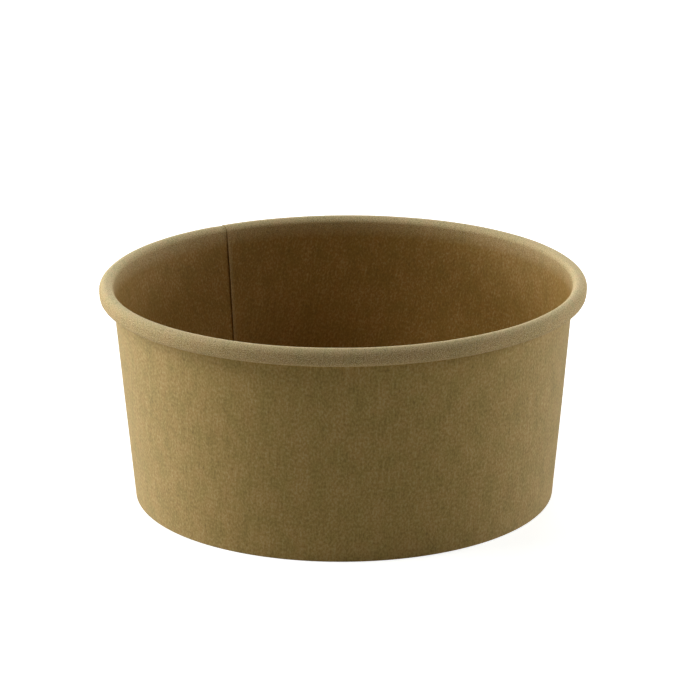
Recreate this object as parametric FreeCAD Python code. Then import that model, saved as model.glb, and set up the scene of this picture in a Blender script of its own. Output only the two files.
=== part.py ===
import FreeCAD, Part

import math
import os

# A wide round tub of kraft board for ice cream: a conical side wall with a rolled rim, and a base disc
# that is set up inside the foot. Lengths are in millimetres and angles in degrees.
# The origin is on the table under the tub's middle, +Z is up, and the front is towards -Y.

# Overall size
RIM_DIAMETER = 150.0
TUB_HEIGHT = 68.6
# The wall's outer face, carried straight down to the table
FOOT_DIAMETER = 130.2

# Board
WALL_BOARD = 0.42
BASE_BOARD = 0.36

# Rolled rim: its width across the wall, the straight stretch of its sides, and how far round the
# board's edge goes once it has come back up beside the wall
RIM_WIDTH = 4.55
RIM_SIDE = 1.3
ROLL_END_ANGLE = 130.0
# Air between one turn of the roll and the next
ROLL_GAP = 0.12

# Lap seam: the side wall's two ends overlap. One cut edge shows inside at SEAM_AZIMUTH, counted from +X
# towards +Y, and the other shows outside, a lap's width further to the right as seen from the front.
SEAM_AZIMUTH = 122.2
LAP_WIDTH = 9.0
# Height over which the press tools flatten the lap, above the base and below the rim
LAP_FADE = 5.0
# What the tools leave of the lap's step where it is flattened
LAP_PRESSED_SHIFT = 0.03
# Plain wall between the flattened lap and the base disc, and between it and the rim
LAP_MARGIN = 0.6

# Base and foot
# Free height under the base disc
BASE_RECESS = 9.5
BASE_BEND_INSIDE = 0.3
# Seal film between the base's flange and the wall, and between the flange and the tuck
SEAL_FILM = 0.05
FOLD_INSIDE_RADIUS = 0.1
# Tuck's edge below the base disc, and the flange's edge above the inside of the fold
TUCK_MARGIN = 1.3
FLANGE_MARGIN = 0.6

RIGHT_ANGLE = 90.0
HALF_TURN = 180.0
FULL_TURN = 360.0
UP = FreeCAD.Vector(0, 0, 1)
ORIGIN = FreeCAD.Vector(0, 0, 0)


class BentBoard:
    """A board of even thickness seen on edge, in the plane of radius and height, laid out run by bend."""

    def __init__(self, thickness, radius, height, heading):
        self.half = thickness / 2
        self.point = FreeCAD.Vector(radius, 0, height)
        self.heading = heading
        self.left = []
        self.right = []

    def along(self, angle=0.0):
        """Unit vector at an angle to the left of the board's heading."""
        turned = math.radians(self.heading + angle)
        return FreeCAD.Vector(math.cos(turned), 0, math.sin(turned))

    def run(self, length):
        """Goes straight on."""
        end = self.point + self.along() * length
        side = self.along(RIGHT_ANGLE) * self.half
        self.left.append(Part.makeLine(self.point + side, end + side))
        self.right.append(Part.makeLine(self.point - side, end - side))
        self.point = end

    def bend(self, radius, angle):
        """Bends about a centre at a radius from the board's middle, to the left for a positive angle."""
        sense = math.copysign(1, angle)
        inward = RIGHT_ANGLE * sense
        centre = self.point + self.along(inward) * radius
        spokes = [self.along(share * angle - inward) for share in (0, 0.5, 1)]
        left_radius = radius - sense * self.half
        right_radius = radius + sense * self.half
        for edges, reach in ((self.left, left_radius), (self.right, right_radius)):
            start, middle, end = [centre + spoke * reach for spoke in spokes]
            edges.append(Part.Arc(start, middle, end).toShape())
        self.point = centre + spokes[-1] * radius
        self.heading += angle

    def revolved(self):
        """The solid that the board's section makes, turned about the tub's axis."""
        start = Part.makeLine(self.right[0].Vertexes[0].Point, self.left[0].Vertexes[0].Point)
        end = Part.makeLine(self.left[-1].Vertexes[-1].Point, self.right[-1].Vertexes[-1].Point)
        outline = Part.Wire(Part.__sortEdges__([start] + self.left + [end] + self.right))
        return Part.Face(outline).revolve(ORIGIN, UP, FULL_TURN)


# The rim's first half turn is round a centre that its width, the rim's diameter and the height give.
rim_half_width = RIM_WIDTH / 2
roll_centre_radius = RIM_DIAMETER / 2 - rim_half_width
roll_centre_height = TUB_HEIGHT - rim_half_width
roll_radius = rim_half_width - WALL_BOARD / 2

# The wall's outer face runs from the foot as a tangent to the inside of that half turn. The lean is its
# angle from upright.
roll_offset = roll_centre_radius - FOOT_DIAMETER / 2
roll_angle = math.atan2(roll_offset, roll_centre_height)
tangent_angle = math.asin((rim_half_width - WALL_BOARD) / math.hypot(roll_offset, roll_centre_height))
lean = math.degrees(roll_angle - tangent_angle)
lean_sin = math.sin(math.radians(lean))
lean_cos = math.cos(math.radians(lean))
lean_tan = math.tan(math.radians(lean))


def face_radius(height, depth=0.0):
    """Radius at a height on a cone that lies a depth inside the wall's outer face."""
    return FOOT_DIAMETER / 2 + height * lean_tan - depth / lean_cos


def corner_reach(radius, angle):
    """Length that a bend takes from each of its two runs."""
    return radius * math.tan(math.radians(angle / 2))


# Depths of the boards' middles inside the wall's outer face, where the foot clamps the base's flange
wall_depth = WALL_BOARD / 2
flange_depth = WALL_BOARD + SEAL_FILM + BASE_BOARD / 2
tuck_depth = WALL_BOARD + SEAL_FILM + BASE_BOARD + SEAL_FILM + WALL_BOARD / 2
# Heights that the wall and the base share
fold_height = WALL_BOARD / 2
base_middle_height = BASE_RECESS + BASE_BOARD / 2
base_top_height = BASE_RECESS + BASE_BOARD


def rolled_wall():
    """Side wall of one thickness all round: tuck, foot fold, cone and rolled rim in one bent board."""
    fold_radius = FOLD_INSIDE_RADIUS + WALL_BOARD / 2
    steep_turn = RIGHT_ANGLE + lean
    shallow_turn = RIGHT_ANGLE - lean
    tuck_top = BASE_RECESS - TUCK_MARGIN
    inner_corner = corner_reach(fold_radius, steep_turn)
    outer_corner = corner_reach(fold_radius, shallow_turn)
    fold_start = face_radius(fold_height, tuck_depth)
    fold_end = face_radius(fold_height, wall_depth)
    wall_length = (roll_centre_radius - fold_end) * lean_sin + (roll_centre_height - fold_height) * lean_cos

    board = BentBoard(WALL_BOARD, face_radius(tuck_top, tuck_depth), tuck_top, -steep_turn)
    board.run((tuck_top - fold_height) / lean_cos - inner_corner)
    board.bend(fold_radius, steep_turn)
    board.run(fold_end - fold_start - inner_corner - outer_corner)
    board.bend(fold_radius, shallow_turn)
    board.run(wall_length - outer_corner)
    # Each half turn of the roll lies inside the one before, so its radius is smaller by half a pitch.
    half_pitch = (WALL_BOARD + ROLL_GAP) / 2
    board.bend(roll_radius, -HALF_TURN)
    board.run(RIM_SIDE)
    board.bend(roll_radius - half_pitch, -HALF_TURN)
    board.run(RIM_SIDE)
    board.bend(roll_radius - 2 * half_pitch, -ROLL_END_ANGLE)
    return board.revolved()


def plan_point(radius, azimuth, height):
    """Point on the wall in plan."""
    turned = math.radians(azimuth)
    return FreeCAD.Vector(radius * math.cos(turned), radius * math.sin(turned), height)


def plan_arc(radius, start, end, height):
    """Round stretch of the wall in plan, counter-clockwise."""
    points = [plan_point(radius, azimuth, height) for azimuth in (start, (start + end) / 2, end)]
    return Part.Arc(*points).toShape()


def lap_outline(radius, shift, height, outside):
    """Plan of one face of the wall with its lap. In the lap the outer sheet is pushed out and the inner
    sheet in by the shift, and each runs straight from there until it is back on the round wall."""
    edge_outside = SEAM_AZIMUTH - math.degrees(LAP_WIDTH / (RIM_DIAMETER / 2))
    right_end = edge_outside - math.degrees(math.acos((radius - shift) / radius))
    left_end = SEAM_AZIMUTH + math.degrees(math.acos(radius / (radius + shift)))
    sunk = plan_point(radius - shift, edge_outside, height)
    raised = plan_point(radius + shift, SEAM_AZIMUTH, height)
    if outside:
        step = Part.makeLine(sunk, plan_point(radius + shift, edge_outside, height))
        lap = [step, plan_arc(radius + shift, edge_outside, SEAM_AZIMUTH, height)]
    else:
        step = Part.makeLine(plan_point(radius - shift, SEAM_AZIMUTH, height), raised)
        lap = [plan_arc(radius - shift, edge_outside, SEAM_AZIMUTH, height), step]
    left = Part.makeLine(raised, plan_point(radius, left_end, height))
    around = plan_arc(radius, left_end, right_end + FULL_TURN, height)
    right = Part.makeLine(plan_point(radius, right_end, height), sunk)
    return Part.Wire(lap + [left, around, right])


def lapped_band(low, high, low_shift, high_shift):
    """Stretch of the cone between two heights, with the lap's two sheets pushed apart."""
    faces = []
    for depth, outside in ((0.0, True), (WALL_BOARD, False)):
        outlines = [lap_outline(face_radius(height, depth), shift, height, outside)
                    for height, shift in ((low, low_shift), (high, high_shift))]
        faces.append(Part.makeLoft(outlines, True, True))
    return faces[0].cut(faces[1])


def side_wall():
    """Rolled wall with its middle stretch exchanged for the same cone with a lap seam."""
    low = base_top_height + LAP_MARGIN
    roll_underside = roll_centre_height - rim_half_width - RIM_SIDE
    high = roll_underside - LAP_MARGIN
    full_shift = WALL_BOARD / 2
    middle = Part.makeCylinder(RIM_DIAMETER, high - low, FreeCAD.Vector(0, 0, low))
    foot_and_rim = rolled_wall().cut(middle)
    bands = [
        lapped_band(low, low + LAP_FADE, LAP_PRESSED_SHIFT, full_shift),
        lapped_band(low + LAP_FADE, high - LAP_FADE, full_shift, full_shift),
        lapped_band(high - LAP_FADE, high, full_shift, LAP_PRESSED_SHIFT),
    ]
    return foot_and_rim.fuse(bands).Solids[0]


def base_disc():
    """Flat disc with its edge turned down all round, into the fold of the foot."""
    bend_radius = BASE_BEND_INSIDE + BASE_BOARD / 2
    edge_turn = RIGHT_ANGLE + lean
    corner = corner_reach(bend_radius, edge_turn)
    flange_bottom = WALL_BOARD + FLANGE_MARGIN
    board = BentBoard(BASE_BOARD, 0, base_middle_height, 0)
    board.run(face_radius(base_middle_height, flange_depth) - corner)
    board.bend(bend_radius, -edge_turn)
    board.run((base_middle_height - flange_bottom) / lean_cos - corner)
    return board.revolved()


os.makedirs("parts", exist_ok=True)
for name, make in (("side_wall", side_wall), ("base_disc", base_disc)):
    piece = make()
    box = piece.optimalBoundingBox()
    print(name, "valid", piece.isValid(), "volume", round(piece.Volume), "mm3, radius", round(box.XMax, 2),
          "height", round(box.ZMin, 2), "to", round(box.ZMax, 2))
    piece.exportStep(f"parts/{name}.step")
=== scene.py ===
import math

import bpy
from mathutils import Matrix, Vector
from mathutils.kdtree import KDTree


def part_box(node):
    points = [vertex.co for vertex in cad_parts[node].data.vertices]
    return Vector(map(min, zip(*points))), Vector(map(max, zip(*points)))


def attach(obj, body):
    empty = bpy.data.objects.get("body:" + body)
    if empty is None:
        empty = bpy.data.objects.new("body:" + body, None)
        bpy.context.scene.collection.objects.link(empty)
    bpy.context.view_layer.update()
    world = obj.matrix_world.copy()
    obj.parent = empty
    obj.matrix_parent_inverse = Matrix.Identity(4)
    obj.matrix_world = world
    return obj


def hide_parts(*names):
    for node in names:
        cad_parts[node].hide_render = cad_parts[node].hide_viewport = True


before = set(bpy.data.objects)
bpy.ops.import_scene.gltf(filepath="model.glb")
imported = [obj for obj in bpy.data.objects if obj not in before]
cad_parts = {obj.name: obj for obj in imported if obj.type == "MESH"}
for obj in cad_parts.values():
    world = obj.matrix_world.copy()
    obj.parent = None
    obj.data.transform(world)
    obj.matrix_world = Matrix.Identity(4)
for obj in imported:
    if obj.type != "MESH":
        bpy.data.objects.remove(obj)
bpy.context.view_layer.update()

# A wide round tub of kraft board for ice cream. Its side wall is one sheet: lapped at an upright seam,
# rolled outwards at the rim and folded in at the foot. Its base is a disc with the edge turned down.
# Lengths are in metres, angles in degrees, and the front is towards -Y.

MM = 0.001
UP = Vector((0, 0, 1))
RIGHT_ANGLE = 90.0
HALF_TURN = 180.0
FULL_TURN = 360.0

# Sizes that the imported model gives
wall_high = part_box("side_wall")[1]
base_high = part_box("base_disc")[1]
rim_radius = wall_high.x
tub_height = wall_high.z
base_top_height = base_high.z

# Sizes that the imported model's source gives
FOOT_RADIUS = 65.1 * MM
WALL_BOARD = 0.42 * MM
BASE_BOARD = 0.36 * MM
RIM_WIDTH = 4.55 * MM
RIM_SIDE = 1.3 * MM
ROLL_END_ANGLE = 130.0
ROLL_GAP = 0.12 * MM
SEAM_AZIMUTH = 122.2
LAP_WIDTH = 9.0 * MM
LAP_FADE = 5.0 * MM
BASE_BEND_INSIDE = 0.3 * MM
SEAL_FILM = 0.05 * MM
FOLD_INSIDE_RADIUS = 0.1 * MM
TUCK_MARGIN = 1.3 * MM
FLANGE_MARGIN = 0.6 * MM

# How finely the boards are divided
WALL_TURN_STEPS = 640
BASE_TURN_STEPS = 480
TUCK_ROWS = 5
WALL_ROWS = 14
FOLD_STEPS = 5
ROLL_STEPS = 15
INNER_ROLL_STEPS = 10
BASE_ROWS = 14
FLANGE_ROWS = 4
WELD_DISTANCE = 0.01 * MM

# What is left of a board's thickness where rim and foot are pressed over the lap, and the free wall that
# the tools press beyond the base and the roll
PRESSED_SHARE = 0.5
PRESS_MARGIN = 1.0 * MM
# How far the inner cut edge stands off and over how much of the lap, and the width of a paler strip
# along it and how pale it turns
EDGE_LIFT = 0.04 * MM
EDGE_LIFT_REACH = 3.0 * MM
EDGE_PALE_STRIP = 1.6 * MM
EDGE_PALE_SHARE = 0.22
# How far below the roll its film starts to turn paler, as crazing and as painted sheen on the roll's top, and
# the share of that left on the roll's outer side
CRAZE_SHEEN_REACH = 0.8 * MM
OUTSIDE_CRAZE_SHEEN = 0.3
# Height of the free wall's waves, half of it to each side of a true cone, and their length
WALL_WAVE = 0.35 * MM
WALL_WAVE_LENGTH = 55 * MM
# How far the rolled rim sinks in places, and the length of those waves
RIM_WAVE = 0.16 * MM
RIM_WAVE_LENGTH = 22 * MM
# Ribs that the knurled roller leaves on the tuck, and the length over which they fade at its ends
KNURL_RIBS = 160
KNURL_DEPTH = 0.12 * MM
KNURL_FADE = 1.0 * MM
# Crown of the base and the puckers where its edge is turned down
BASE_CROWN = 0.2 * MM
PUCKERS = 96
PUCKER_DEPTH = 0.09 * MM
PUCKER_REACH = 2.5 * MM
PUCKER_FADE = 1.0 * MM
SHARP_EDGE_ANGLE = 40.0

# The rolled rim's centre, and the wall's lean from upright
rim_half_width = RIM_WIDTH / 2
roll_centre_radius = rim_radius - rim_half_width
roll_centre_height = tub_height - rim_half_width
roll_radius = rim_half_width - WALL_BOARD / 2
roll_offset = roll_centre_radius - FOOT_RADIUS
roll_angle = math.atan2(roll_offset, roll_centre_height)
tangent_angle = math.asin((rim_half_width - WALL_BOARD) / math.hypot(roll_offset, roll_centre_height))
lean = math.degrees(roll_angle - tangent_angle)
lean_sin = math.sin(math.radians(lean))
lean_cos = math.cos(math.radians(lean))
lean_tan = math.tan(math.radians(lean))


def face_radius(height, depth=0.0):
    """Radius at a height on a cone that lies a depth inside the wall's outer face."""
    return FOOT_RADIUS + height * lean_tan - depth / lean_cos


def corner_reach(radius, angle):
    """Length that a bend takes from each of its two runs."""
    return radius * math.tan(math.radians(angle / 2))


def ease(share):
    """Runs from 0 to 1 with soft ends, and stays there."""
    share = min(max(share, 0.0), 1.0)
    return share * share * (3 - 2 * share)


class BoardLine:
    """Middle of a board seen on edge, drawn run by bend in the upright plane at an azimuth."""

    def __init__(self, name, azimuth, radius, height, heading):
        turned = math.radians(azimuth)
        self.outward = Vector((math.cos(turned), math.sin(turned), 0))
        self.radius = radius
        self.height = height
        self.heading = heading
        self.length = 0.0
        self.knots = [(radius, height, 0.0)]
        bpy.ops.object.select_all(action="DESELECT")
        bpy.ops.mesh.primitive_plane_add(size=MM, calc_uvs=False)
        self.piece = bpy.context.object
        self.piece.name = name
        self.piece.data.name = name
        bpy.ops.object.mode_set(mode="EDIT")
        bpy.ops.mesh.select_all(action="SELECT")
        bpy.ops.mesh.merge(type="CENTER")
        bpy.ops.transform.translate(value=self.outward * radius + UP * height)

    def along(self, angle=0.0):
        """Step of one metre outwards and upwards, at an angle to the left of the heading."""
        turned = math.radians(self.heading + angle)
        return math.cos(turned), math.sin(turned)

    def knot(self, radius, height, step):
        """Goes on to a point that lies a step further along the board."""
        self.radius = radius
        self.height = height
        self.length += step
        self.knots.append((radius, height, self.length))

    def run(self, length, rows=1):
        """Goes straight on."""
        out, up = self.along()
        step = length / rows
        move = (self.outward * out + UP * up) * step
        for _ in range(rows):
            bpy.ops.mesh.extrude_region_move(TRANSFORM_OT_translate={"value": move})
            self.knot(self.radius + out * step, self.height + up * step, step)

    def bend(self, radius, angle, steps):
        """Bends about a centre at a radius from the board's middle, to the left for a positive angle."""
        inward = math.copysign(RIGHT_ANGLE, angle)
        out, up = self.along(inward)
        centre_radius = self.radius + out * radius
        centre_height = self.height + up * radius
        centre = self.outward * centre_radius + UP * centre_height
        bpy.ops.mesh.spin(steps=steps, angle=math.radians(angle), center=centre,
                          axis=UP.cross(self.outward))
        step = math.radians(abs(angle)) / steps * radius
        for _ in range(steps):
            self.heading += angle / steps
            out, up = self.along(-inward)
            self.knot(centre_radius + out * radius, centre_height + up * radius, step)

    def turn(self, angle, steps):
        """Turns the line about the tub's axis, counter-clockwise from above, and leaves edit mode."""
        bpy.ops.mesh.select_all(action="SELECT")
        bpy.ops.mesh.spin(steps=steps, angle=math.radians(angle), center=(0, 0, 0), axis=-UP)
        if angle == FULL_TURN:
            bpy.ops.mesh.select_all(action="SELECT")
            bpy.ops.mesh.remove_doubles(threshold=WELD_DISTANCE)
        bpy.ops.mesh.select_all(action="SELECT")
        bpy.ops.mesh.normals_make_consistent(inside=False)
        bpy.ops.object.mode_set(mode="OBJECT")
        return self.piece

    def nearest(self):
        """Tree that finds the knot at a radius and height."""
        tree = KDTree(len(self.knots))
        for number, (radius, height, _) in enumerate(self.knots):
            tree.insert((radius, height, 0), number)
        tree.balance()
        return tree


def lay_out(line, rounds, fan_turn, fan_angle, fan_radius):
    """Gives a board the map of its flat blank, in metres. On a blank cut as a fan, the whole turn takes up
    the fan's angle, and the point at no length along the board lies at the fan's radius. Returns, for each
    point, its length along the board and the angle round the tub that rounds gives for it."""
    mesh = line.piece.data
    tree = line.nearest()
    places = []
    for vertex in mesh.vertices:
        radius = math.hypot(vertex.co.x, vertex.co.y)
        length = line.knots[tree.find((radius, vertex.co.z, 0))[1]][2]
        places.append((length, rounds(vertex)))
    blank = mesh.uv_layers.new(name="blank")
    for loop in mesh.loops:
        length, turned = places[loop.vertex_index]
        share = turned / fan_turn - 0.5
        reach = fan_radius + length
        angle = math.radians(share * fan_angle)
        blank.data[loop.index].uv = (reach * math.sin(angle), reach * math.cos(angle) - fan_radius)
    return places


def mark(piece, name, values):
    """Writes a number on each point, for the materials."""
    made = piece.data.attributes.new(name, "FLOAT", "POINT")
    made.data.foreach_set("value", values)


def weigh(piece, name, weights):
    """Adds a vertex group with a weight for each point."""
    group = piece.vertex_groups.new(name=name)
    for number, weight in enumerate(weights):
        if weight > 0:
            group.add([number], weight, "REPLACE")
    return name


def finish_modifier(piece, kind, **settings):
    """Adds a modifier and applies it."""
    modifier = piece.modifiers.new(kind.lower(), kind)
    for name, value in settings.items():
        setattr(modifier, name, value)
    bpy.context.view_layer.objects.active = piece
    bpy.ops.object.modifier_apply(modifier=modifier.name)


def push(piece, group, distance):
    """Moves the points of a group along their normals."""
    finish_modifier(piece, "DISPLACE", vertex_group=group, strength=distance, mid_level=0.0)


def warp(piece, group, distance, wave_length, mid_level):
    """Moves the points of a group along their normals by a soft uneven pattern."""
    waves = bpy.data.textures.new(group, "CLOUDS")
    waves.noise_scale = wave_length
    waves.noise_depth = 1
    finish_modifier(piece, "DISPLACE", vertex_group=group, texture=waves, texture_coords="LOCAL",
                    strength=distance, mid_level=mid_level)


def face_out(piece, outward_face):
    """Turns all the faces over if the given face looks to the tub's axis."""
    face = piece.data.polygons[outward_face]
    if face.normal.dot(Vector((face.center.x, face.center.y, 0))) < 0:
        piece.data.flip_normals()


def thicken(piece, board, faces, group=""):
    """Gives a sheet its board's thickness: bare face outside, film inside, and cut edges."""
    for material in faces:
        piece.data.materials.append(material)
    finish_modifier(piece, "SOLIDIFY", thickness=board, offset=0.0, use_even_offset=True,
                    vertex_group=group, thickness_vertex_group=PRESSED_SHARE,
                    material_offset=1, material_offset_rim=2)
    bpy.ops.object.select_all(action="DESELECT")
    piece.select_set(True)
    bpy.context.view_layer.objects.active = piece
    bpy.ops.object.shade_smooth_by_angle(angle=math.radians(SHARP_EDGE_ANGLE))
    piece.vertex_groups.clear()


def side_wall_board(faces):
    """Side wall as one lapped sheet: tuck, foot fold, cone and rolled rim."""
    wall_depth = WALL_BOARD / 2
    tuck_depth = WALL_BOARD + SEAL_FILM + BASE_BOARD + SEAL_FILM + WALL_BOARD / 2
    fold_height = WALL_BOARD / 2
    fold_radius = FOLD_INSIDE_RADIUS + WALL_BOARD / 2
    steep_turn = RIGHT_ANGLE + lean
    shallow_turn = RIGHT_ANGLE - lean
    tuck_top = base_top_height - BASE_BOARD - TUCK_MARGIN
    inner_corner = corner_reach(fold_radius, steep_turn)
    outer_corner = corner_reach(fold_radius, shallow_turn)
    fold_start = face_radius(fold_height, tuck_depth)
    fold_end = face_radius(fold_height, wall_depth)
    wall_length = ((roll_centre_radius - fold_end) * lean_sin
                   + (roll_centre_height - fold_height) * lean_cos)
    lap_turn = math.degrees(LAP_WIDTH / rim_radius)
    edge_lift_turn = math.degrees(EDGE_LIFT_REACH / rim_radius)
    edge_pale_turn = math.degrees(EDGE_PALE_STRIP / rim_radius)
    sheet_turn = FULL_TURN + lap_turn
    sheet_start = SEAM_AZIMUTH - lap_turn

    line = BoardLine("side_wall_board", sheet_start, face_radius(tuck_top, tuck_depth), tuck_top,
                     -steep_turn)
    line.run((tuck_top - fold_height) / lean_cos - inner_corner, TUCK_ROWS)
    tuck_end = line.length
    line.bend(fold_radius, steep_turn, FOLD_STEPS)
    line.run(fold_end - fold_start - inner_corner - outer_corner)
    line.bend(fold_radius, shallow_turn, FOLD_STEPS)
    wall_start = line.length
    line.run(wall_length - outer_corner, WALL_ROWS)
    wall_end = line.length
    half_pitch = (WALL_BOARD + ROLL_GAP) / 2
    line.bend(roll_radius, -HALF_TURN, ROLL_STEPS)
    line.run(RIM_SIDE)
    line.bend(roll_radius - half_pitch, -HALF_TURN, INNER_ROLL_STEPS)
    line.run(RIM_SIDE)
    line.bend(roll_radius - 2 * half_pitch, -ROLL_END_ANGLE, INNER_ROLL_STEPS)
    piece = line.turn(sheet_turn, WALL_TURN_STEPS)

    # The points of each step round the tub follow those of the step before, so a point's number tells the
    # two layers of the lap apart.
    knots = len(line.knots)
    step = sheet_turn / WALL_TURN_STEPS
    fan_angle = sheet_turn * lean_sin
    fan_radius = FOOT_RADIUS / lean_sin - wall_start
    places = lay_out(line, lambda vertex: vertex.index // knots * step, sheet_turn, fan_angle,
                     fan_radius)
    middle_face = min(piece.data.polygons, key=lambda face: abs(face.center.z - tub_height / 2)).index
    face_out(piece, middle_face)

    # Lap: the outer layer is the sheet's start and the inner layer its end. Each is back on the round wall
    # a little way past the other's cut edge.
    settle = math.degrees(math.acos(FOOT_RADIUS / (FOOT_RADIUS + WALL_BOARD / 2)))
    pressed_low = wall_start + (base_top_height + PRESS_MARGIN) / lean_cos
    pressed_high = wall_end - RIM_SIDE - PRESS_MARGIN

    def freedom(length):
        """1 on the free wall, 0 where rim and foot are pressed."""
        low = ease((length - pressed_low) / LAP_FADE)
        high = ease((pressed_high - length) / LAP_FADE)
        return min(low, high)

    def layer(way):
        """1 in the lap, falling to 0 over the settling stretch, at an angle from the layer's cut edge."""
        return max(0.0, 1 - max(0.0, way - lap_turn) / settle) ** 2

    def push_share(length):
        """How much of its full step a layer keeps."""
        return PRESSED_SHARE + (1 - PRESSED_SHARE) * freedom(length)

    outer = [layer(turned) * push_share(length) for length, turned in places]
    inner = [layer(sheet_turn - turned) * push_share(length) for length, turned in places]
    push(piece, weigh(piece, "outer_layer", outer), WALL_BOARD / 2)
    push(piece, weigh(piece, "inner_layer", inner), -WALL_BOARD / 2)

    # The inner layer's cut edge stands a little off the outer layer on the free wall.
    lifted = [max(0.0, 1 - (sheet_turn - turned) / edge_lift_turn) * freedom(length)
              for length, turned in places]
    push(piece, weigh(piece, "lifted_edge", lifted), -EDGE_LIFT)

    def wall_share(length):
        """1 in the middle of the wall, 0 at the foot and the rim."""
        return math.sin(math.pi * min(max((length - wall_start) / (wall_end - wall_start), 0.0), 1.0))

    wavy = [wall_share(length) for length, _ in places]
    warp(piece, weigh(piece, "wall_waves", wavy), WALL_WAVE, WALL_WAVE_LENGTH, mid_level=0.5)
    rolled = [ease((length - wall_end) / RIM_SIDE) for length, _ in places]
    warp(piece, weigh(piece, "rim_waves", rolled), RIM_WAVE, RIM_WAVE_LENGTH, mid_level=0.0)

    def rib(turned):
        """0 beside a press mark and 1 on it."""
        return 0.5 - 0.5 * math.cos(2 * math.pi * KNURL_RIBS * turned / sheet_turn)

    knurled = [rib(turned) * ease((tuck_end - length) / KNURL_FADE) * ease(0.5 + length / KNURL_FADE)
               for length, turned in places]
    push(piece, weigh(piece, "knurled", knurled), KNURL_DEPTH)

    quarter_roll = roll_radius * math.pi / 2

    def craze_and_sheen(length):
        """1 over the top of the roll and less round its outside: crazed film where the board bends first and
        most, and painted sheen on the roll's top.
        """
        rise = ease((length - wall_end + CRAZE_SHEEN_REACH) / (quarter_roll / 2 + CRAZE_SHEEN_REACH))
        fall = ease((length - wall_end - quarter_roll) / quarter_roll)
        return rise * (1 - (1 - OUTSIDE_CRAZE_SHEEN) * fall)

    # Where the film turns paler: crazed and painted sheen over the roll's top, and a paler strip beside the
    # inner cut edge
    paler_film = [max(craze_and_sheen(length),
                  EDGE_PALE_SHARE * max(0.0, 1 - (sheet_turn - turned) / edge_pale_turn))
              for length, turned in places]
    mark(piece, "rolled", paler_film)
    full = [1 - max(layer(turned), layer(sheet_turn - turned)) * (1 - freedom(length))
            for length, turned in places]
    thicken(piece, WALL_BOARD, faces, weigh(piece, "full_board", full))
    return piece


def base_board(faces):
    """Base: a flat disc with its edge turned down all round."""
    bend_radius = BASE_BEND_INSIDE + BASE_BOARD / 2
    edge_turn = RIGHT_ANGLE + lean
    corner = corner_reach(bend_radius, edge_turn)
    flange_depth = WALL_BOARD + SEAL_FILM + BASE_BOARD / 2
    middle_height = base_top_height - BASE_BOARD / 2
    flange_bottom = WALL_BOARD + FLANGE_MARGIN
    flat_radius = face_radius(middle_height, flange_depth) - corner

    line = BoardLine("base_board", 0, 0, middle_height, 0)
    line.run(flat_radius, BASE_ROWS)
    line.bend(bend_radius, -edge_turn, FOLD_STEPS)
    flange_start = line.length
    line.run((middle_height - flange_bottom) / lean_cos - corner, FLANGE_ROWS)
    piece = line.turn(FULL_TURN, BASE_TURN_STEPS)
    places = lay_out(line, lambda vertex: math.degrees(math.atan2(vertex.co.y, vertex.co.x)), FULL_TURN,
                     FULL_TURN, 0.0)
    flange_face = min(piece.data.polygons,
                      key=lambda face: abs(face.center.z - middle_height / 2)).index
    face_out(piece, flange_face)

    crowned = [max(0.0, 1 - (length / flat_radius) ** 2) for length, _ in places]
    push(piece, weigh(piece, "crowned", crowned), BASE_CROWN)
    puckered = [(0.5 - 0.5 * math.cos(math.radians(PUCKERS * turned)))
                * ease(1 - abs(length - flat_radius) / PUCKER_REACH)
                * ease(1 + (flange_start - length) / PUCKER_FADE)
                for length, turned in places]
    push(piece, weigh(piece, "puckered", puckered), -PUCKER_DEPTH)
    mark(piece, "rolled", [ease(1 - abs(length - flat_radius) / PUCKER_REACH) for length, _ in places])
    thicken(piece, BASE_BOARD, faces)
    return piece


# Materials

# Kraft board as written in sRGB: the bare face, the deeper face under the film, darker also as painted shade
# of the tub's inside, that face where rolling has crazed the film, paler also as painted sheen on the rim's
# top, the open pulp of a cut, bark specks, pale fibre, and fibre parted under crazed film
BARE_KRAFT = "#AE8C4C"
FILMED_SHADED_KRAFT = "#9F7737"
CRAZED_SHEEN_KRAFT = "#EBCE9B"
CUT_KRAFT = "#B49B66"
BARK = "#5E4420"
PALE_FIBRE = "#CDB87E"
PARTED_FIBRE = "#F2E6C4"
# Greener and redder casts that the clouds in the pulp lay over the board's colour
GREEN_CAST = "#F9FFFB"
RED_CAST = "#FFF9FB"

# Widths and lengths of the board's patterns, or a width and how many times longer the marks are. The grain
# runs up the wall.
CLOUD_SIZE = 5.5 * MM
CLOUD_STRETCH = 1.3
STREAK_WIDTH = 1.1 * MM
STREAK_LENGTH = 9 * MM
# Real fibres are 0.03 mm wide and 2 mm long. They are drawn in bundles as coarse as the render shows.
BUNDLE_WIDTH = 0.6 * MM
BUNDLE_LENGTH = 0.95 * MM
FLECK_WIDTH = 0.5 * MM
FLECK_LENGTH = 2.2 * MM
TOOTH_SIZE = 0.22 * MM
TOOTH_STRETCH = 2
PULP_GRAIN = 0.12 * MM
# Specks of the crazed film on the roll
SPECKLE_SIZE = 0.3 * MM
# Depths of the board's tooth, bare, filmed and cut
BARE_TOOTH = 0.06 * MM
FILMED_TOOTH = 0.05 * MM
CUT_TOOTH = 0.05 * MM
# How strongly the pulp's pattern shows on the bare face and under the film, and the share of that which
# its clouds and streaks have beside its fibre bundles
BARE_GRAIN = 0.62
FILMED_GRAIN = 0.5
SOFT_SHARE = 0.2
# How strongly bark, pale fibre and crazed specks cover the board
BARK_COVER = 0.4
FIBRE_COVER = 0.35
SPECKLE_COVER = 0.55
# Roughness of the film, flat and crazed
FILM_ROUGHNESS = 0.55
CRAZED_ROUGHNESS = 0.85


def linear(hex_colour):
    """Linear colour of an sRGB hex value."""
    parts = [int(hex_colour[place:place + 2], 16) / 255 for place in (1, 3, 5)]
    lit = [part / 12.92 if part <= 0.04045 else ((part + 0.055) / 1.055) ** 2.4 for part in parts]
    return lit + [1.0]


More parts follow.
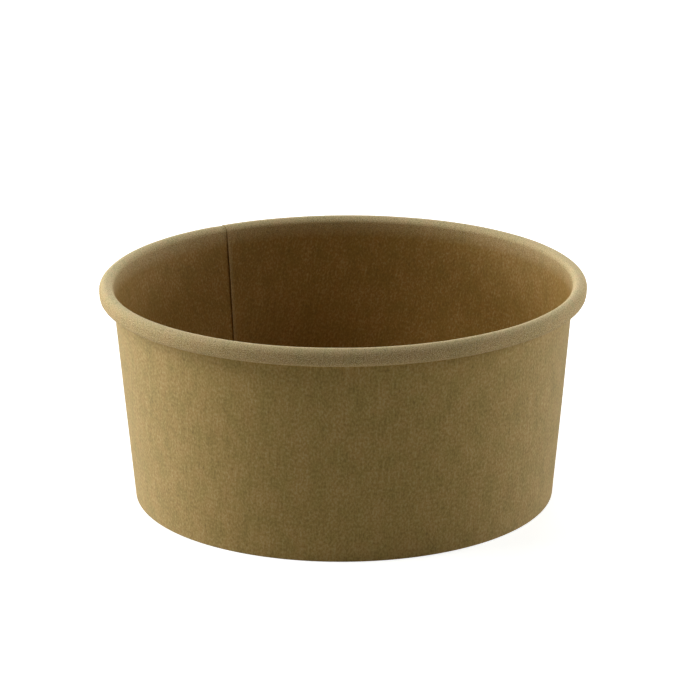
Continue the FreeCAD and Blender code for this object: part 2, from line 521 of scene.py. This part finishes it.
def add_node(tree, kind, links=None, **settings):
    """Adds a node with its settings. Each input is joined to the socket or set to the value given for it."""
    made = tree.nodes.new(kind)
    for name, value in settings.items():
        setattr(made, name, value)
    for name, value in (links or {}).items():
        if isinstance(value, bpy.types.NodeSocket):
            tree.links.new(value, made.inputs[name])
        else:
            made.inputs[name].default_value = value
    return made


def pattern(tree, place, width, length, detail=2.0, shift=0.0):
    """Uneven pattern whose marks are about as wide and as long as given, from 0 to 1. The shift takes it from
    another part of the noise, so that no two patterns fall together."""
    sized = add_node(tree, "ShaderNodeMapping", {
        "Vector": place, "Location": (shift, shift, shift),
        "Scale": (1 / width, 1 / length, 1 / width)})
    marks = add_node(tree, "ShaderNodeTexNoise", {
        "Vector": sized.outputs["Vector"], "Scale": 1.0, "Detail": detail, "Roughness": 0.55})
    return marks.outputs["Fac"]


def stretch(tree, value, low, high, new_low=0.0, new_high=1.0):
    """Carries one range of values to another and stops at its ends."""
    ranged = add_node(tree, "ShaderNodeMapRange", {
        "Value": value, "From Min": low, "From Max": high, "To Min": new_low, "To Max": new_high})
    return ranged.outputs["Result"]


def total(tree, first, second):
    """Sum of two values."""
    return add_node(tree, "ShaderNodeMath", {0: first, 1: second}, operation="ADD").outputs[0]


def blend(tree, factor, first, second, way="MIX"):
    """Mixes two colours. A mix node's colour inputs are told apart by their numbers."""
    mixed = add_node(tree, "ShaderNodeMix", {0: factor, 6: first, 7: second},
                     data_type="RGBA", blend_type=way)
    return mixed.outputs[2]


def new_material(name):
    """Empty material and its tree."""
    material = bpy.data.materials.new(name)
    material.use_nodes = True
    material.node_tree.nodes.clear()
    return material, material.node_tree


def kraft_pulp(tree, place, body, grain):
    """Colour and relief of kraft board over a body colour: soft clouds in the pulp, faint streaks along
    the grain, close fibre bundles that make most of the mottle, and a few bark specks and pale fibres."""
    clouds = pattern(tree, place, CLOUD_SIZE, CLOUD_SIZE * CLOUD_STRETCH, 2.0)
    streaks = pattern(tree, place, STREAK_WIDTH, STREAK_LENGTH, 2.0, 3.0)
    bundles = pattern(tree, place, BUNDLE_WIDTH, BUNDLE_LENGTH, 3.0, 7.0)
    specks = pattern(tree, place, FLECK_WIDTH, FLECK_LENGTH, 1.0, 11.0)
    hairs = pattern(tree, place, FLECK_WIDTH, FLECK_LENGTH, 1.0, 17.0)
    cast = blend(tree, stretch(tree, clouds, 0.35, 0.65), linear(GREEN_CAST), linear(RED_CAST))
    body = blend(tree, 1.0, body, cast, "MULTIPLY")
    soft = SOFT_SHARE * grain
    shade = total(tree, stretch(tree, bundles, 0.2, 0.8, -grain, grain),
                  stretch(tree, streaks, 0.3, 0.7, -soft, soft))
    shade = total(tree, shade, stretch(tree, clouds, 0.3, 0.7, -soft, soft))
    body = blend(tree, stretch(tree, shade, -1.0, 0.0, 1.0, 0.0), body, linear(BARK))
    body = blend(tree, stretch(tree, shade, 0.0, 1.0), body, linear(PALE_FIBRE))
    body = blend(tree, stretch(tree, specks, 0.7, 0.8, 0.0, BARK_COVER), body, linear(BARK))
    body = blend(tree, stretch(tree, hairs, 0.7, 0.8, 0.0, FIBRE_COVER), body, linear(PALE_FIBRE))
    tooth = pattern(tree, place, TOOTH_SIZE, TOOTH_SIZE * TOOTH_STRETCH, 2.0, 23.0)
    return body, total(tree, bundles, tooth)


def bare_kraft_board():
    """Unbleached kraft board, machine finished and left bare: a dry brown face with a close upright mottle
    of fibre, a fine tooth, and a faint pale bloom of loose fibre where it is seen edge on."""
    material, tree = new_material("unbleached_kraft_board_bare")
    place = add_node(tree, "ShaderNodeUVMap", uv_map="blank").outputs["UV"]
    colour, relief = kraft_pulp(tree, place, linear(BARE_KRAFT), BARE_GRAIN)
    bump = add_node(tree, "ShaderNodeBump", {"Height": relief, "Strength": 0.5, "Distance": BARE_TOOTH})
    board = add_node(tree, "ShaderNodeBsdfPrincipled", {
        "Base Color": colour, "Roughness": 0.8, "IOR": 1.5, "Specular IOR Level": 0.25,
        "Sheen Weight": 0.2, "Sheen Roughness": 0.5, "Normal": bump.outputs["Normal"]})
    add_node(tree, "ShaderNodeOutputMaterial", {"Surface": board.outputs["BSDF"]})
    return material


def filmed_kraft_board():
    """Unbleached kraft board under a thin clear barrier film, extruded on: the same pulp looks deeper and a
    little satin, and is darker still as painted shade of the tub's inside. Where the board is rolled the film
    is crazed and the fibres part, so it turns matt and speckled, and pale, partly as painted sheen on the
    roll's top. A narrow strip beside the wall's cut edge is a little paler too."""
    material, tree = new_material("unbleached_kraft_board_filmed_shade_and_sheen")
    place = add_node(tree, "ShaderNodeUVMap", uv_map="blank").outputs["UV"]
    rolled = add_node(tree, "ShaderNodeAttribute", attribute_name="rolled").outputs["Fac"]
    # Colour runs from the filmed face, darker as painted shade of the tub's inside, to the pale crazed
    # colour, partly painted sheen on the roll's top
    body = blend(tree, rolled, linear(FILMED_SHADED_KRAFT), linear(CRAZED_SHEEN_KRAFT))
    colour, relief = kraft_pulp(tree, place, body, FILMED_GRAIN)
    speckle = pattern(tree, place, SPECKLE_SIZE, SPECKLE_SIZE, 2.0, 31.0)
    spread = stretch(tree, rolled, 0.0, 0.3)
    for low, high, tint in ((0.5, 0.7, PARTED_FIBRE), (0.5, 0.3, BARK)):
        specks = stretch(tree, speckle, low, high, 0.0, SPECKLE_COVER)
        specks = add_node(tree, "ShaderNodeMath", {0: spread, 1: specks}, operation="MULTIPLY").outputs[0]
        colour = blend(tree, specks, colour, linear(tint))
    roughness = stretch(tree, rolled, 0.0, 0.5, FILM_ROUGHNESS, CRAZED_ROUGHNESS)
    bump = add_node(tree, "ShaderNodeBump", {"Height": relief, "Strength": 0.5, "Distance": FILMED_TOOTH})
    board = add_node(tree, "ShaderNodeBsdfPrincipled", {
        "Base Color": colour, "Roughness": roughness, "IOR": 1.5, "Specular IOR Level": 0.22,
        "Normal": bump.outputs["Normal"]})
    add_node(tree, "ShaderNodeOutputMaterial", {"Surface": board.outputs["BSDF"]})
    return material


def cut_kraft_edge():
    """Die-cut edge of kraft board: open pulp, paler and rougher than the faces, with no film."""
    material, tree = new_material("unbleached_kraft_board_cut_edge")
    place = add_node(tree, "ShaderNodeTexCoord").outputs["Object"]
    grain = pattern(tree, place, PULP_GRAIN, PULP_GRAIN, 3.0)
    colour = blend(tree, stretch(tree, grain, 0.3, 0.7, 0.0, 0.6), linear(CUT_KRAFT), linear(BARK))
    bump = add_node(tree, "ShaderNodeBump", {"Height": grain, "Strength": 0.6, "Distance": CUT_TOOTH})
    edge = add_node(tree, "ShaderNodeBsdfPrincipled", {
        "Base Color": colour, "Roughness": 0.9, "IOR": 1.5, "Specular IOR Level": 0.2,
        "Normal": bump.outputs["Normal"]})
    add_node(tree, "ShaderNodeOutputMaterial", {"Surface": edge.outputs["BSDF"]})
    return material


# The stage: a white floor, a white backdrop behind, and soft light from both sides and the back

FLOOR_SIZE = 8.0
STAGE_WHITE = "#E0E0DE"
# How far the floor and the backdrop are lifted to white where they are seen directly
FLOOR_LIFT = 0.78
BACKDROP_LIFT = 1.0
BACKDROP_DISTANCE = 2.6
BACKDROP_WIDTH = 7.0
BACKDROP_HEIGHT = 3.0
ROOM_LEVEL = 0.032
# The room's own light is a little warm beside the lamps
ROOM_TINT = "#FFF5EA"
LAMP_TINT = "#F8FFFD"
LAMP_DISTANCE = 1.5
LAMP_WIDTH = 0.9
LAMP_HEIGHT = 0.6
# Each lamp's azimuth, elevation and power in watts
LAMPS = {
    "left_lamp": (-110, 8, 21),
    "left_high_lamp": (-84, 45, 10),
    "right_lamp": (115, 8, 13.5),
    "right_high_lamp": (79, 30, 4.2),
    "back_lamp": (180, 25, 11),
}


def seen_directly(tree):
    """1 for what the camera, a reflection or a clear body sees, and 0 for light on its way."""
    rays = add_node(tree, "ShaderNodeLightPath").outputs
    direct = total(tree, rays["Is Camera Ray"], rays["Is Glossy Ray"])
    direct = add_node(tree, "ShaderNodeMath", {0: direct, 1: rays["Is Transmission Ray"]}, operation="ADD")
    direct.use_clamp = True
    return direct.outputs[0]


def white_stage_paint(name, lift):
    """White paint that lamps light as usual, lifted to white where it is seen directly."""
    material, tree = new_material(name)
    paint = add_node(tree, "ShaderNodeBsdfDiffuse", {"Color": linear(STAGE_WHITE)}).outputs[0]
    glow = add_node(tree, "ShaderNodeEmission", {"Color": (1, 1, 1, 1), "Strength": lift}).outputs[0]
    lifted = add_node(tree, "ShaderNodeAddShader", {0: paint, 1: glow}).outputs[0]
    surface = add_node(tree, "ShaderNodeMixShader", {0: seen_directly(tree), 1: paint, 2: lifted})
    add_node(tree, "ShaderNodeOutputMaterial", {"Surface": surface.outputs[0]})
    return material


def stage_plane(name, lift, **place):
    """Large plane that isn't part of the tub."""
    bpy.ops.object.select_all(action="DESELECT")
    bpy.ops.mesh.primitive_plane_add(**place)
    plane = bpy.context.object
    plane.name = name
    plane.data.materials.append(white_stage_paint(name + "_white", lift))


def room():
    """White surroundings as the camera sees them, and a dim even room light."""
    world = bpy.data.worlds.new("white_room")
    world.use_nodes = True
    tree = world.node_tree
    tree.nodes.clear()
    seen = add_node(tree, "ShaderNodeLightPath").outputs["Is Camera Ray"]
    dim = add_node(tree, "ShaderNodeBackground", {
        "Color": linear(ROOM_TINT), "Strength": ROOM_LEVEL}).outputs[0]
    white = add_node(tree, "ShaderNodeBackground", {"Color": (1, 1, 1, 1), "Strength": 1.0}).outputs[0]
    light = add_node(tree, "ShaderNodeMixShader", {0: seen, 1: dim, 2: white})
    add_node(tree, "ShaderNodeOutputWorld", {"Surface": light.outputs[0]})
    bpy.context.scene.world = world


def soft_lamp(name, azimuth, elevation, power):
    """Soft box that looks at the tub. Azimuth 0 is on the camera's side and 90 on the right."""
    turned = math.radians(azimuth)
    raised = math.radians(elevation)
    level = math.cos(raised)
    away = Vector((math.sin(turned) * level, -math.cos(turned) * level, math.sin(raised)))
    bpy.ops.object.light_add(type="AREA", location=away * LAMP_DISTANCE)
    lamp = bpy.context.object
    lamp.name = name
    lamp.rotation_euler = away.to_track_quat("Z", "Y").to_euler()
    lamp.data.shape = "RECTANGLE"
    lamp.data.size = LAMP_WIDTH
    lamp.data.size_y = LAMP_HEIGHT
    lamp.data.energy = power
    lamp.data.color = linear(LAMP_TINT)[:3]
    lamp.visible_camera = False


# The camera stands in front and looks down on the tub.
CAMERA_PITCH = 17.51
CAMERA_ROLL = -0.342
CAMERA_DISTANCE = 1004.7 * MM
CAMERA_TARGET_HEIGHT = 45.05 * MM
SENSOR_WIDTH = 36.0
PHOTO_WIDTH = 700
FOCAL_PIXELS = 3245.4
OFFSET_PIXELS = 6.63
CLIP_START = 0.01


def camera():
    """Camera at the photograph's viewing angle."""
    pitch = math.radians(CAMERA_PITCH)
    roll = math.radians(CAMERA_ROLL)
    back = Vector((0, -math.cos(pitch), math.sin(pitch)))
    level = Vector((1, 0, 0))
    upward = back.cross(level)
    right = level * math.cos(roll) + upward * math.sin(roll)
    data = bpy.data.cameras.new("camera")
    data.sensor_width = SENSOR_WIDTH
    data.lens = SENSOR_WIDTH * FOCAL_PIXELS / PHOTO_WIDTH
    data.shift_x = OFFSET_PIXELS / PHOTO_WIDTH
    data.clip_start = CLIP_START
    made = bpy.data.objects.new("camera", data)
    bpy.context.scene.collection.objects.link(made)
    place = UP * CAMERA_TARGET_HEIGHT + back * CAMERA_DISTANCE
    matrix = made.matrix_world.copy()
    for column, axis in enumerate((right, back.cross(right), back, place)):
        for row in range(3):
            matrix[row][column] = axis[row]
    made.matrix_world = matrix
    bpy.context.scene.camera = made


camera()
bpy.context.scene.view_settings.view_transform = "Standard"

board_faces = [bare_kraft_board(), filmed_kraft_board(), cut_kraft_edge()]
wall = side_wall_board(board_faces)
base = base_board(board_faces)
for piece, node, slot in ((wall, "side_wall", "wall_board"), (base, "base_disc", "base_board")):
    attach(piece, "root")
    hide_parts(node)

stage_plane("floor", FLOOR_LIFT, size=FLOOR_SIZE)
stage_plane("backdrop", BACKDROP_LIFT, size=1.0, location=(0, BACKDROP_DISTANCE, BACKDROP_HEIGHT / 2),
            rotation=(math.radians(RIGHT_ANGLE), 0, 0), scale=(BACKDROP_WIDTH, BACKDROP_HEIGHT, 1))
room()
for lamp_name, (azimuth, elevation, power) in LAMPS.items():
    soft_lamp(lamp_name, azimuth, elevation, power)
